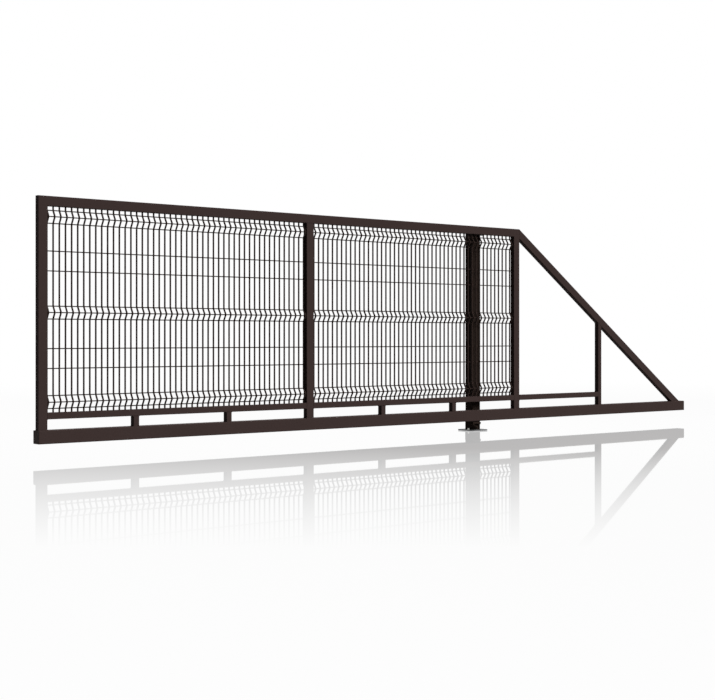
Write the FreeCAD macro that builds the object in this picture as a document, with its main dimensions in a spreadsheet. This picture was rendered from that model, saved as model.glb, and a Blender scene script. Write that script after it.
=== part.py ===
import FreeCAD, Part
import Sketcher
import os

# Sliding driveway gate: a self-supporting leaf that rolls along X past one guide post.
# Millimetres, +Z up, +X towards the tail of the leaf, +Y from the leaf to the post.
# The origin is the middle of the base plate's underside, on the ground.

doc = FreeCAD.newDocument("sliding_gate")

# Driving dimensions
SIZES = {
    # Guide post and its base plate
    "post_side": 100,
    "post_wall": 4,
    "post_radius": 4,
    "plate_side": 200,
    "plate_thick": 10,
    "plate_radius": 6,
    "anchor_along": 75,
    "anchor_across": 25,
    "anchor_hole": 14,
    "cap_thick": 5,
    "cap_bevel": 2,
    "cap_drop": 5,
    # Place of the leaf beside the post
    "ground_gap": 100,
    "post_gap": 30,
    "post_from_front": 4520,
    # Carrying rail
    "rail_overrun": 49,
    "rail_tall": 100,
    "rail_deep": 100,
    "rail_wall": 5,
    "rail_radius": 7,
    "rail_slot": 30,
    "end_cap": 4,
    "end_cap_radius": 7,
    # Frame of the leaf
    "stile_wide": 75,
    "frame_deep": 50,
    "top_tall": 75,
    "tube_wall": 3,
    "tube_radius": 5,
    "bay_1": 2370,
    "bay_2": 2400,
    "bar_side": 50,
    "bar_lift": 80,
    "spacer_inset_1": 740,
    "spacer_inset_2": 770,
    "spacer_pitch": 850,
    # Tail of the leaf
    "tail_bay": 1135,
    "brace_tall": 75,
    "brace_run": 2436,
    # Folded mesh
    "wire": 9,
    "cross_wire": 5.5,
    "wire_pitch": 50,
    "wire_margin": 8,
    "weld_bite": 1,
    "mesh_back": 10,
    "fold_deep": 30,
    "fold_half": 48,
    "mesh_end": 28,
    "low_gap_1": 202,
    "low_gap_2": 148,
    "low_gap_3": 220,
    "high_gap_1": 262,
    "high_gap_2": 148,
    "high_gap_3": 206,
    # Running gear
    "running_gap": 0.3,
    "safe_gap": 5,
    # Guide rollers behind the top rail
    "guide_wide": 180,
    "guide_plate": 6,
    "guide_drop": 16,
    "guide_tall": 60,
    "roller_dia": 45,
    "roller_tall": 40,
    "roller_spread": 110,
    "pin_dia": 12,
    "pin_head_dia": 22,
    "pin_head": 5,
    "bore_gap": 0.3,
    # Roller carriage inside the rail
    "carriage_long": 300,
    "carriage_beam": 24,
    "carriage_tall": 40,
    "stem_long": 60,
    "stem_wide": 20,
    "foot_long": 90,
    "foot_wide": 70,
    "foot_thick": 8,
    "wheel_dia": 84,
    "wheel_wide": 26,
    "wheel_pitch": 105,
    "axle_dia": 16,
    "axle_end": 2,
    "shelf_long": 90,
    "shelf_thick": 12,
    "cheek_thick": 10,
    "cheek_inset": 10,
    "gusset_thick": 10,
    "gusset_rise": 20,
}

# Places worked out from the driving dimensions.
# The leaf's own frame has X from its front end and Y from its middle plane.
PLACES = {
    "leaf_x": "-sizes.post_from_front",
    "leaf_y": "-(sizes.post_side / 2 + sizes.post_gap + sizes.rail_deep / 2)",
    "rail_top": "sizes.ground_gap + sizes.rail_tall",
    "bar_low": "rail_top + sizes.bar_lift",
    "bar_top": "bar_low + sizes.bar_side",
    "low_gaps": "sizes.low_gap_1 + sizes.low_gap_2 + sizes.low_gap_3",
    "high_gaps": "sizes.high_gap_1 + sizes.high_gap_2 + sizes.high_gap_3",
    "mesh_tall": "2 * sizes.mesh_end + 6 * sizes.fold_half + low_gaps + high_gaps",
    "top_low": "bar_top + mesh_tall",
    "leaf_top": "top_low + sizes.top_tall",
    "mid_stile": "sizes.stile_wide + sizes.bay_1",
    "rear_stile": "mid_stile + sizes.stile_wide + sizes.bay_2",
    "frame_end": "rear_stile + sizes.stile_wide",
    "brace_rise": "leaf_top - rail_top",
    "brace_long": "hypot(sizes.brace_run; brace_rise)",
    "rail_long": "frame_end + sizes.brace_run + sizes.rail_overrun",
    "brace_drop": "brace_long / sizes.brace_run",
    "brace_shift": "brace_long / brace_rise",
    "brace_slope": "brace_rise / sizes.brace_run",
    "tail_post": "frame_end + sizes.tail_bay",
    "post_top": "leaf_top - sizes.cap_drop - sizes.cap_thick",
    "mesh_y": "sizes.mesh_back",
    "cross_y": "mesh_y + sizes.wire / 2 + sizes.cross_wire / 2 - sizes.weld_bite",
    "fold_1": "bar_top + sizes.mesh_end",
    "fold_2": "fold_1 + 2 * sizes.fold_half + low_gaps",
    "fold_3": "fold_2 + 2 * sizes.fold_half + high_gaps",
    "half_bay_1": "sizes.bay_1 / 2",
    "half_bay_2": "sizes.bay_2 / 2",
    "wires_1": "floor((half_bay_1 - sizes.wire_margin - sizes.wire_pitch / 2) / sizes.wire_pitch) + 1",
    "wires_2": "floor((half_bay_2 - sizes.wire_margin - sizes.wire_pitch / 2) / sizes.wire_pitch) + 1",
    "post_face": "-sizes.post_side / 2",
    "frame_back": "leaf_y + sizes.frame_deep / 2",
    "guide_top": "leaf_top - sizes.guide_drop",
    "guide_low": "guide_top - sizes.guide_tall",
    "roller_top": "guide_top - sizes.guide_plate",
    "roller_low": "roller_top - sizes.roller_tall",
    "roller_y": "frame_back + sizes.running_gap + sizes.roller_dia / 2",
    "foot_top": "sizes.ground_gap - sizes.safe_gap",
    "foot_low": "foot_top - sizes.foot_thick",
    "shelf_low": "foot_low - sizes.shelf_thick",
    "carriage_x": "-(sizes.post_side / 2 + sizes.cheek_thick + sizes.shelf_long / 2)",
    "cheek_back": "sizes.post_side / 2 - sizes.cheek_inset - leaf_y",
    "cheek_toe": "sizes.cheek_inset - sizes.plate_side / 2 - leaf_y",
    "axle_z": "rail_top - sizes.rail_wall - sizes.running_gap - sizes.wheel_dia / 2",
    "beam_low": "axle_z - sizes.carriage_tall / 2",
    "axle_half": "sizes.carriage_beam / 2 + sizes.wheel_wide + sizes.axle_end",
}


def fill_sheet(name, cells, prefix=""):
    """One aliased cell for each entry, with its name beside it."""
    sheet = doc.addObject("Spreadsheet::Sheet", name)
    for row, (alias, content) in enumerate(cells.items(), start=1):
        sheet.set(f"A{row}", alias)
        sheet.set(f"B{row}", f"{prefix}{content}")
        sheet.setAlias(f"B{row}", alias)
    doc.recompute()
    return sheet


sizes = fill_sheet("sizes", SIZES)
places = fill_sheet("places", PLACES, "=")


def number(expression):
    """The present value of an expression in the two sheets."""
    return float(sizes.evalExpression(str(expression)))


def bind(thing, **expressions):
    """Bind properties, written with __ for the dots in their paths."""
    for path, expression in expressions.items():
        thing.setExpression(path.replace("__", "."), str(expression))


def new_body(label, x="0", y="0", z="0"):
    """A named body whose place is bound to the sheets."""
    body = doc.addObject("PartDesign::Body", label)
    body.Label = label
    bind(body, Placement__Base__x=x, Placement__Base__y=y, Placement__Base__z=z)
    return body


def leaf_body(label, x="0"):
    """A body in the leaf's own frame, moved along the leaf by x."""
    return new_body(label, f"places.leaf_x + {x}", "places.leaf_y")


def origin_part(body, role):
    """One of the body's own origin planes or axes."""
    return next(part for part in body.Origin.OriginFeatures if part.Role == role)


def new_sketch(body, plane):
    """An empty sketch on one of the body's origin planes."""
    sketch = body.newObject("Sketcher::SketchObject", f"{body.Label}_sketch")
    sketch.AttachmentSupport = [(origin_part(body, plane), "")]
    sketch.MapMode = "FlatFace"
    return sketch


def place_point(sketch, curve, point, x, y):
    """Hold one point of a curve at bound distances from the sketch's origin."""
    for kind, expression in (("DistanceX", x), ("DistanceY", y)):
        rule = Sketcher.Constraint(kind, -1, 1, curve, point, number(expression))
        row = sketch.addConstraint(rule)
        sketch.setExpression(f"Constraints[{row}]", str(expression))


def add_outline(sketch, corners):
    """Add a closed outline whose corners are pairs of expressions."""
    first = sketch.GeometryCount
    count = len(corners)
    spots = [FreeCAD.Vector(number(x), number(y), 0) for x, y in corners]
    for side in range(count):
        sketch.addGeometry(Part.LineSegment(spots[side], spots[(side + 1) % count]), False)
    for side in range(count):
        following = first + (side + 1) % count
        sketch.addConstraint(Sketcher.Constraint("Coincident", first + side, 2, following, 1))
    for side, (x, y) in enumerate(corners):
        place_point(sketch, first + side, 1, x, y)


def add_circle(sketch, x, y, diameter):
    """Add a circle with a bound centre and diameter."""
    centre = FreeCAD.Vector(number(x), number(y), 0)
    curve = sketch.addGeometry(Part.Circle(centre, FreeCAD.Vector(0, 0, 1), number(diameter) / 2), False)
    place_point(sketch, curve, 3, x, y)
    row = sketch.addConstraint(Sketcher.Constraint("Diameter", curve, number(diameter)))
    sketch.setExpression(f"Constraints[{row}]", str(diameter))


def rectangle(x0, y0, x1, y1):
    """The corners of an upright rectangle, first side along x."""
    return [(x0, y0), (x1, y0), (x1, y1), (x0, y1)]


def square_about(x, y, half):
    """The corners of a square with its middle at x, y."""
    return rectangle(f"{x} - {half}", f"{y} - {half}", f"{x} + {half}", f"{y} + {half}")


def outline_sketch(body, plane, *outlines):
    """A sketch with one or more closed outlines."""
    sketch = new_sketch(body, plane)
    for corners in outlines:
        add_outline(sketch, corners)
    return sketch


def extrude(body, kind, sketch, length, symmetric=False, reverse=False):
    """Pad or pocket a sketch over a bound length."""
    feature = body.newObject(f"PartDesign::{kind}", f"{body.Label}_{kind.lower()}")
    feature.Profile = sketch
    feature.Reversed = reverse
    if symmetric:
        feature.SideType = "Symmetric"
    bind(feature, Length=length)
    doc.recompute()
    return feature


def dress(body, kind, feature, edges, amount):
    """Fillet or chamfer the chosen edges of the body's last feature."""
    dressed = body.newObject(f"PartDesign::{kind}", f"{body.Label}_{kind.lower()}")
    dressed.Base = (feature, edges)
    bind(dressed, **{"Radius" if kind == "Fillet" else "Size": amount})
    doc.recompute()
    return dressed


def edges_where(feature, wanted):
    """The names of a feature's straight edges that pass a test of direction and middle."""
    names = []
    for row, edge in enumerate(feature.Shape.Edges, start=1):
        start, end = edge.Vertexes[0].Point, edge.Vertexes[-1].Point
        if isinstance(edge.Curve, Part.Line) and wanted((end - start).normalize(), (start + end) / 2):
            names.append(f"Edge{row}")
    return names


def tube(body, outer, inner, depth, wall, radius):
    """A hollow section seen in elevation, its long sides first and third, with round long edges."""
    extrude(body, "Pad", outline_sketch(body, "XZ_Plane", outer), depth, symmetric=True)
    hollow = outline_sketch(body, "XZ_Plane", inner)
    shell = extrude(body, "Pocket", hollow, f"{depth} - 2 * {wall}", symmetric=True)
    start, end = [FreeCAD.Vector(number(x), 0, number(z)) for x, z in outer[:2]]
    along = (end - start).normalize()
    face = number(depth) / 2
    long_edges = edges_where(shell, lambda way, middle: on_face(way, middle, along, face))
    dress(body, "Fillet", shell, long_edges, radius)
    return body


def on_face(way, middle, along, face):
    """Whether an edge runs along a member on its front or back face."""
    return abs(way.dot(along)) > 0.999 and abs(abs(middle.y) - face) < 0.01


def upright_tube(label, x, width, low, high, depth="sizes.frame_deep"):
    """A square-cut vertical tube of the leaf."""
    right = f"{x} + {width}"
    inset = "sizes.tube_wall"
    outer = [(x, low), (x, high), (right, high), (right, low)]
    inner = rectangle(f"{x} + {inset}", low, f"{right} - {inset}", high)
    return tube(leaf_body(label), outer, inner, depth, inset, "sizes.tube_radius")


def level_tube(label, x, length, low, height):
    """A square-cut horizontal tube of the leaf."""
    right, high = f"{x} + {length}", f"{low} + {height}"
    inset = "sizes.tube_wall"
    outer = rectangle(x, low, right, high)
    inner = rectangle(x, f"{low} + {inset}", right, f"{high} - {inset}")
    return tube(leaf_body(label), outer, inner, "sizes.frame_deep", inset, "sizes.tube_radius")


def corner_stile(label, x, outward):
    """An outer stile, mitred at the top; outward is 0 where its outer side is the left one, else 1."""
    inset = "sizes.tube_wall"
    right = f"{x} + sizes.stile_wide"
    fall = "sizes.top_tall / sizes.stile_wide"
    near, far = f"places.leaf_top - {inset} * {fall}", f"places.top_low + {inset} * {fall}"
    tops = [("places.leaf_top", "places.top_low"), ("places.top_low", "places.leaf_top")][outward]
    inner_tops = [(near, far), (far, near)][outward]
    low = "places.rail_top"
    outer = [(x, low), (x, tops[0]), (right, tops[1]), (right, low)]
    left_in, right_in = f"{x} + {inset}", f"{right} - {inset}"
    inner = [(left_in, low), (left_in, inner_tops[0]), (right_in, inner_tops[1]), (right_in, low)]
    return tube(leaf_body(label), outer, inner, "sizes.frame_deep", inset, "sizes.tube_radius")


def top_rail():
    """The top tube, mitred to the outer stiles at both ends."""
    inset = "sizes.tube_wall"
    run = "sizes.stile_wide / sizes.top_tall"
    end = "places.frame_end"
    outer = [("0", "places.leaf_top"), (end, "places.leaf_top"),
             (f"{end} - sizes.stile_wide", "places.top_low"), ("sizes.stile_wide", "places.top_low")]
    short, long = f"{inset} * {run}", f"(sizes.top_tall - {inset}) * {run}"
    high, low = f"places.leaf_top - {inset}", f"places.top_low + {inset}"
    inner = [(short, high), (f"{end} - {short}", high), (f"{end} - {long}", low), (long, low)]
    return tube(leaf_body("top_rail"), outer, inner, "sizes.frame_deep", inset, "sizes.tube_radius")


def brace_line(depth):
    """Where a line at a depth below the brace's upper face meets the stile and the rail."""
    at_stile = ("places.frame_end", f"places.leaf_top - ({depth}) * places.brace_drop")
    at_rail = (f"places.frame_end + sizes.brace_run - ({depth}) * places.brace_shift", "places.rail_top")
    return at_stile, at_rail


def tail_brace():
    """The sloping tube of the tail, cut upright at the stile and level on the rail."""
    inset = "sizes.tube_wall"
    upper, lower = brace_line("0"), brace_line("sizes.brace_tall")
    inner_upper, inner_lower = brace_line(inset), brace_line(f"sizes.brace_tall - {inset}")
    outer = [upper[0], upper[1], lower[1], lower[0]]
    inner = [inner_upper[0], inner_upper[1], inner_lower[1], inner_lower[0]]
    return tube(leaf_body("tail_brace"), outer, inner, "sizes.frame_deep", inset, "sizes.tube_radius")


def under_brace(x):
    """The height of the brace's underside at a place along the leaf."""
    start = brace_line("sizes.brace_tall")[0][1]
    return f"{start} - ({x} - places.frame_end) * places.brace_slope"


def tail_upright():
    """The upright of the tail, its top cut to the slope of the brace."""
    inset = "sizes.tube_wall"
    left, right = "places.tail_post", "places.tail_post + sizes.bar_side"
    low = "places.rail_top"
    outer = [(left, low), (left, under_brace(left)), (right, under_brace(right)), (right, low)]
    left_in, right_in = f"{left} + {inset}", f"{right} - {inset}"
    inner = [(left_in, low), (left_in, under_brace(left_in)),
             (right_in, under_brace(right_in)), (right_in, low)]
    return tube(leaf_body("tail_upright"), outer, inner, "sizes.frame_deep", inset, "sizes.tube_radius")


def bottom_rail():
    """The carrying rail: a channel with a slot along the middle of its underside."""
    body = leaf_body("bottom_rail")
    half, inside = "sizes.rail_deep / 2", "(sizes.rail_deep / 2 - sizes.rail_wall)"
    lip, low, high = "sizes.rail_slot / 2", "sizes.ground_gap", "places.rail_top"
    floor, roof = f"{low} + sizes.rail_wall", f"{high} - sizes.rail_wall"
    right = [(lip, low), (half, low), (half, high)]
    inner_right = [(inside, roof), (inside, floor), (lip, floor)]
    left = [(f"-{y}", z) for y, z in reversed(right)]
    inner_left = [(f"-{y}", z) for y, z in reversed(inner_right)]
    section = outline_sketch(body, "YZ_Plane", right + left + inner_left + inner_right)
    channel = extrude(body, "Pad", section, "places.rail_long")
    face = number(half)
    outer = edges_where(channel, lambda way, middle: abs(way.x) > 0.999 and abs(abs(middle.y) - face) < 0.01)
    dress(body, "Fillet", channel, outer, "sizes.rail_radius")
    return body


def end_cap(label, x):
    """A plate that closes one end of the carrying rail."""
    body = leaf_body(label, x)
    half = "sizes.rail_deep / 2"
    square = rectangle(f"-{half}", "sizes.ground_gap", half, "places.rail_top")
    plate = extrude(body, "Pad", outline_sketch(body, "YZ_Plane", square), "sizes.end_cap")
    corners = edges_where(plate, lambda way, middle: abs(way.x) > 0.999)
    dress(body, "Fillet", plate, corners, "sizes.end_cap_radius")
    return body


def fold_heights(start):
    """The three heights of one fold: where it begins, its tip and where it ends."""
    return [start, f"{start} + sizes.fold_half", f"{start} + 2 * sizes.fold_half"]


def wire_path():
    """Corners of a folded upright wire's middle line, from the lower bar to the top tube."""
    path = [("places.mesh_y", "places.bar_top")]
    for start in ("places.fold_1", "places.fold_2", "places.fold_3"):
        low, tip, high = fold_heights(start)
        path += [("places.mesh_y", low), ("places.mesh_y - sizes.fold_deep", tip), ("places.mesh_y", high)]
    return path + [("places.mesh_y", "places.top_low")]


def cross_wire_spots():
    """Middle of each level wire, behind the upright wires."""
    flat, forward = "places.cross_y", "places.cross_y - sizes.fold_deep"
    spots = []
    for start in ("places.fold_1", "places.fold_2", "places.fold_3"):
        low, tip, high = fold_heights(start)
        spots += [(flat, low), (forward, tip), (flat, high)]
    above_1 = "places.fold_1 + 2 * sizes.fold_half + sizes.low_gap_1"
    above_2 = "places.fold_2 + 2 * sizes.fold_half + sizes.high_gap_1"
    for height in (above_1, f"{above_1} + sizes.low_gap_2", above_2, f"{above_2} + sizes.high_gap_2"):
        spots.append((flat, height))
    return spots


def mesh_half(label, start, half, wires, first_wire):
    """Half of a bay's folded mesh: upright wires side by side, welded to level wires behind them."""
    body = leaf_body(label, start)
    path = wire_path()
    front = [(f"{y} - sizes.wire / 2", z) for y, z in path]
    back = [(f"{y} + sizes.wire / 2", z) for y, z in reversed(path)]
    strip = outline_sketch(body, "YZ_Plane", front + back)
    bind(strip, AttachmentOffset__Base__z=first_wire)
    wire = extrude(body, "Pad", strip, "sizes.wire", symmetric=True)
    squares = [square_about(y, z, "sizes.cross_wire / 2") for y, z in cross_wire_spots()]
    extrude(body, "Pad", outline_sketch(body, "YZ_Plane", *squares), half)
    row = body.newObject("PartDesign::LinearPattern", f"{label}_row")
    row.Originals = [wire]
    row.Direction = (origin_part(body, "X_Axis"), [""])
    row.Mode = "Spacing"
    bind(row, Offset="sizes.wire_pitch", Occurrences=wires)
    body.Tip = row
    doc.recompute()
    return body


def mesh_bay(label, start, half, wires):
    """Both halves of one bay, their wires even about the middle of the bay."""
    first = f"{half} - sizes.wire_pitch / 2 - ({wires} - 1) * sizes.wire_pitch"
    return [
        mesh_half(f"{label}_front", start, half, wires, first),
        mesh_half(f"{label}_rear", f"{start} + {half}", half, wires, "sizes.wire_pitch / 2"),
    ]


def guide_post():
    """The post, a square tube that stands on the base plate."""
    half, inset = "sizes.post_side / 2", "sizes.post_wall"
    low, high = "sizes.plate_thick", "places.post_top"
    outer = [(f"-{half}", low), (f"-{half}", high), (half, high), (half, low)]
    inner = rectangle(f"-({half} - {inset})", low, f"{half} - {inset}", high)
    return tube(new_body("guide_post"), outer, inner, "sizes.post_side", inset, "sizes.post_radius")


def base_plate():
    """The square base plate with two anchor holes, one to each side of the post and set crosswise."""
    body = new_body("base_plate")
    half, along, across = "sizes.plate_side / 2", "sizes.anchor_along", "sizes.anchor_across"
    square = outline_sketch(body, "XY_Plane", rectangle(f"-{half}", f"-{half}", half, half))
    plate = extrude(body, "Pad", square, "sizes.plate_thick")
    corners = edges_where(plate, lambda way, middle: abs(way.z) > 0.999)
    dress(body, "Fillet", plate, corners, "sizes.plate_radius")
    holes = new_sketch(body, "XY_Plane")
    for x, y in ((f"-{along}", f"-{across}"), (along, across)):
        add_circle(holes, x, y, "sizes.anchor_hole")
    extrude(body, "Pocket", holes, "sizes.plate_thick", reverse=True)
    return body


def post_cap():
    """A flat cap that closes the post, with a bevelled upper rim."""
    body = new_body("post_cap", z="places.post_top")
    half = "sizes.post_side / 2"
    square = outline_sketch(body, "XY_Plane", rectangle(f"-{half}", f"-{half}", half, half))
    plate = extrude(body, "Pad", square, "sizes.cap_thick")
    corners = edges_where(plate, lambda way, middle: abs(way.z) > 0.999)
    rounded = dress(body, "Fillet", plate, corners, "sizes.post_radius")
    top = number("sizes.cap_thick")
    rim = edges_where(rounded, lambda way, middle: abs(middle.z - top) < 0.01)
    dress(body, "Chamfer", rounded, rim, "sizes.cap_bevel")
    return body


def guide_bracket():
    """An angle on the front of the post whose shelf holds the guide rollers."""
    body = new_body("guide_bracket")
    back, front = "places.post_face", "places.frame_back + sizes.safe_gap"
    low, high = "places.guide_low", "places.guide_top"
    leg, shelf = f"{back} - sizes.guide_plate", f"{high} - sizes.guide_plate"
    angle = [(back, low), (back, high), (front, high), (front, shelf), (leg, shelf), (leg, low)]
    extrude(body, "Pad", outline_sketch(body, "YZ_Plane", angle), "sizes.guide_wide", symmetric=True)
    return body


def revolve(body, profile):
    """Turn a profile of radius and height about the body's Z axis."""
    turned = body.newObject("PartDesign::Revolution", f"{body.Label}_turned")
    turned.Profile = outline_sketch(body, "XZ_Plane", profile)
    turned.ReferenceAxis = (origin_part(body, "Z_Axis"), [""])
    turned.Angle = 360
    doc.recompute()
    return turned


def guide_roller(label, x):
    """A guide roller that bears on the back of the top tube."""
    body = new_body(label, x, "places.roller_y")
    bore, rim = "sizes.pin_dia / 2 + sizes.bore_gap", "sizes.roller_dia / 2"
    revolve(body, rectangle(bore, "places.roller_low", rim, "places.roller_top"))
    return body


def guide_pin(label, x):
    """The pin that hangs a guide roller from its shelf, with its head below the roller."""
    body = new_body(label, x, "places.roller_y")
    shank, head = "sizes.pin_dia / 2", "sizes.pin_head_dia / 2"
    low, high = "places.roller_low", "places.roller_top"
    head_low = f"{low} - sizes.pin_head"
    revolve(body, [("0", head_low), (head, head_low), (head, low), (shank, low), (shank, high), ("0", high)])
    return body


def carriage_bracket():
    """A cheek on the side of the post with a shelf under the rail, which carries the roller carriage."""
    body = new_body("carriage_bracket", "places.carriage_x", "places.leaf_y")
    half_foot, half_shelf = "sizes.foot_wide / 2", "sizes.shelf_long / 2"
    low, shelf, high = "sizes.plate_thick", "places.shelf_low", "places.foot_low"
    back, toe, front = "places.cheek_back", "places.cheek_toe", f"-{half_foot}"
    side = [(back, low), (back, high), (front, high), (front, shelf), (toe, low)]
    cheek = outline_sketch(body, "YZ_Plane", side)
    bind(cheek, AttachmentOffset__Base__z=half_shelf)
    extrude(body, "Pad", cheek, "sizes.cheek_thick")
    slab = outline_sketch(body, "YZ_Plane", rectangle(front, shelf, half_foot, high))
    extrude(body, "Pad", slab, "sizes.shelf_long", symmetric=True)
    gusset = [(half_shelf, f"{low} + sizes.gusset_rise"), (half_shelf, shelf), (f"-{half_shelf}", shelf)]
    extrude(body, "Pad", outline_sketch(body, "XZ_Plane", gusset), "sizes.gusset_thick", symmetric=True)
    return body


def axle_spots():
    """Places of the axles along the carriage."""
    return ["-sizes.wheel_pitch", "0", "sizes.wheel_pitch"]


def carriage_frame():
    """The carriage's foot, its stem through the rail's slot, its beam and its axles."""
    body = new_body("carriage_frame", "places.carriage_x", "places.leaf_y")
    half_foot, half_stem = "sizes.foot_long / 2", "sizes.stem_long / 2"
    half_beam = "sizes.carriage_long / 2"
    foot = rectangle(f"-{half_foot}", "places.foot_low", half_foot, "places.foot_top")
    stem = rectangle(f"-{half_stem}", "places.foot_top", half_stem, "places.beam_low")
    beam_top = "places.beam_low + sizes.carriage_tall"
    beam = rectangle(f"-{half_beam}", "places.beam_low", half_beam, beam_top)
    depths = ("sizes.foot_wide", "sizes.stem_wide", "sizes.carriage_beam")
    for outline, depth in zip((foot, stem, beam), depths):
        extrude(body, "Pad", outline_sketch(body, "XZ_Plane", outline), depth, symmetric=True)
    axles = new_sketch(body, "XZ_Plane")
    for x in axle_spots():
        add_circle(axles, x, "places.axle_z", "sizes.axle_dia")
    extrude(body, "Pad", axles, "2 * places.axle_half", symmetric=True)
    return body


def carriage_wheel(label, x, side):
    """One wheel of the carriage, against the beam on the side given as 1 or -1."""
    middle = "(sizes.carriage_beam + sizes.wheel_wide) / 2"
    body = new_body(label, f"places.carriage_x + {x}", f"places.leaf_y + {side} * {middle}", "places.axle_z")
    rim = new_sketch(body, "XZ_Plane")
    add_circle(rim, "0", "0", "sizes.wheel_dia")
    add_circle(rim, "0", "0", "sizes.axle_dia + 2 * sizes.bore_gap")
    extrude(body, "Pad", rim, "sizes.wheel_wide", symmetric=True)
    return body


def leaf_parts():
    """Every sub-part of the sliding leaf."""
    rail_top, bar_low, bar_tall = "places.rail_top", "places.bar_low", "sizes.bar_side"
    bay_2 = "places.mid_stile + sizes.stile_wide"
    parts = [
        bottom_rail(),
        end_cap("rail_cap_front", "-sizes.end_cap"),
        end_cap("rail_cap_rear", "places.rail_long"),
        corner_stile("front_stile", "0", 0),
        upright_tube("middle_stile", "places.mid_stile", "sizes.stile_wide", rail_top, "places.top_low"),
        corner_stile("rear_stile", "places.rear_stile", 1),
        top_rail(),
        tail_brace(),
        tail_upright(),
        level_tube("lower_bar_bay_1", "sizes.stile_wide", "sizes.bay_1", bar_low, bar_tall),
        level_tube("lower_bar_bay_2", bay_2, "sizes.bay_2", bar_low, bar_tall),
        level_tube("lower_bar_tail", "places.frame_end", "sizes.tail_bay", bar_low, bar_tall),
    ]
    bays = ((1, "sizes.stile_wide", "sizes.spacer_inset_1"), (2, bay_2, "sizes.spacer_inset_2"))
    for bay, start, inset in bays:
        for name, shift in (("front", "0"), ("rear", "sizes.spacer_pitch")):
            left = f"{start} + {inset} + {shift} - sizes.bar_side / 2"
            parts.append(upright_tube(f"spacer_bay_{bay}_{name}", left, "sizes.bar_side", rail_top, bar_low))
        parts += mesh_bay(f"mesh_bay_{bay}", start, f"places.half_bay_{bay}", f"places.wires_{bay}")
    return parts


def post_parts():
    """Every sub-part that stands still: the post and the running gear on it."""
    parts = [guide_post(), base_plate(), post_cap(), guide_bracket(), carriage_bracket(), carriage_frame()]
    for name, side in (("front", "-"), ("rear", "")):
        x = f"{side}sizes.roller_spread / 2"
        parts += [guide_roller(f"guide_roller_{name}", x), guide_pin(f"guide_pin_{name}", x)]
    for row, x in enumerate(axle_spots(), start=1):
        parts.append(carriage_wheel(f"carriage_wheel_{row}_near", x, -1))
        parts.append(carriage_wheel(f"carriage_wheel_{row}_far", x, 1))
    return parts


def check_and_write(parts):
    """Stop on any failed object or bad shape, then write one file for each sub-part."""
    doc.recompute()
    for thing in doc.Objects:
        if "Invalid" in thing.State or "Error" in thing.State:
            raise RuntimeError(f"{thing.Label} failed: {thing.State}")
    for part in parts:
        if part.Shape.isNull() or not part.Shape.isValid():
            raise RuntimeError(f"{part.Label} has no valid shape")
        if len(part.Shape.Solids) != 1:
            raise RuntimeError(f"{part.Label} is {len(part.Shape.Solids)} solids, not one")
    os.makedirs("parts", exist_ok=True)
    for part in parts:
        part.Shape.exportStep(f"parts/{part.Label}.step")


check_and_write(leaf_parts() + post_parts())
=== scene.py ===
"""Looks of the sliding driveway gate, laid out as an add-on and run as a script."""

import math

import bpy
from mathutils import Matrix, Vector


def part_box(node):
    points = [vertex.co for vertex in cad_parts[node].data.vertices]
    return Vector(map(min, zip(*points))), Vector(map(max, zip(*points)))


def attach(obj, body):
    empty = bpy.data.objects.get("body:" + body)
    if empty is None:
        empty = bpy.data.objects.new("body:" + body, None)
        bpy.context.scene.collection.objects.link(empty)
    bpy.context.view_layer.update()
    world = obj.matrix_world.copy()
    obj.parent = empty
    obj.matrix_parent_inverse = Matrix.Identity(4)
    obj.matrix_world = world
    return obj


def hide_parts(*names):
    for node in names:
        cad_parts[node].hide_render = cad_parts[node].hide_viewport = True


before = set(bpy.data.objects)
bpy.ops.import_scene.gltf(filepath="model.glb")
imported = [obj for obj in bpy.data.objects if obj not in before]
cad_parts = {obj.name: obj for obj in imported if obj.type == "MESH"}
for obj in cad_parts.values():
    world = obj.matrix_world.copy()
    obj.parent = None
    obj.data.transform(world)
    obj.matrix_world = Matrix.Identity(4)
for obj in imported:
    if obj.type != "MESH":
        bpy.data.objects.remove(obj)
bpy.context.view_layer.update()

bl_info = {
    "name": "Sliding driveway gate",
    "version": (1, 0, 0),
    "blender": (4, 5, 0),
    "location": "3D View > Sidebar > Gate",
    "description": "Round mesh wires, welds, fixings and finishes for the sliding gate",
    "category": "Object",
}

# The photograph's frame, in pixels
PHOTO_WIDTH = 715
PHOTO_HEIGHT = 700
FOCAL_PIXELS = 1326.2
HORIZON_ROW = 337.3

# Nodes of the frame that are dressed alike
MESH_NODES = ("mesh_bay_1_front", "mesh_bay_1_rear", "mesh_bay_2_front", "mesh_bay_2_rear")
SPACER_NODES = ("spacer_bay_1_front", "spacer_bay_1_rear", "spacer_bay_2_front", "spacer_bay_2_rear")
BAR_NODES = ("lower_bar_bay_1", "lower_bar_bay_2", "lower_bar_tail")
ROLLER_NODES = ("guide_roller_front", "guide_roller_rear")
PIN_NODES = ("guide_pin_front", "guide_pin_rear")
ZINC_NODES = ("base_plate", *PIN_NODES)
POST_NODES = ("guide_post", "guide_bracket", "carriage_bracket", "carriage_frame")
PLASTIC_STARTS = ("guide_roller", "carriage_wheel")

# Turns that point a disc's face along each axis
TURNS = {"X": (0, math.pi / 2, 0), "Y": (-math.pi / 2, 0, 0), "Z": (0, 0, 0)}
WAYS = {"X": Vector((1, 0, 0)), "Y": Vector((0, 1, 0)), "Z": Vector((0, 0, 1))}

# Sides of what is round, and of a nut
WIRE_SIDES = 8
BEAD_SIDES = 6
NUT_SIDES = 6
THREAD_SIDES = 12
WASHER_SIDES = 24
ROLLER_SIDES = 40
FLOOR_SIDES = 96

# Edges sharper than these stay sharp: on turned pieces and nuts, and on eight-sided wires
FLAT_ANGLE = math.radians(40)
WIRE_ANGLE = math.radians(60)

# Points nearer to each other than this become one, in metres
MERGE_DISTANCE = 0.00001

# How far the camera sees, in metres
SIGHT = 200


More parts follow.
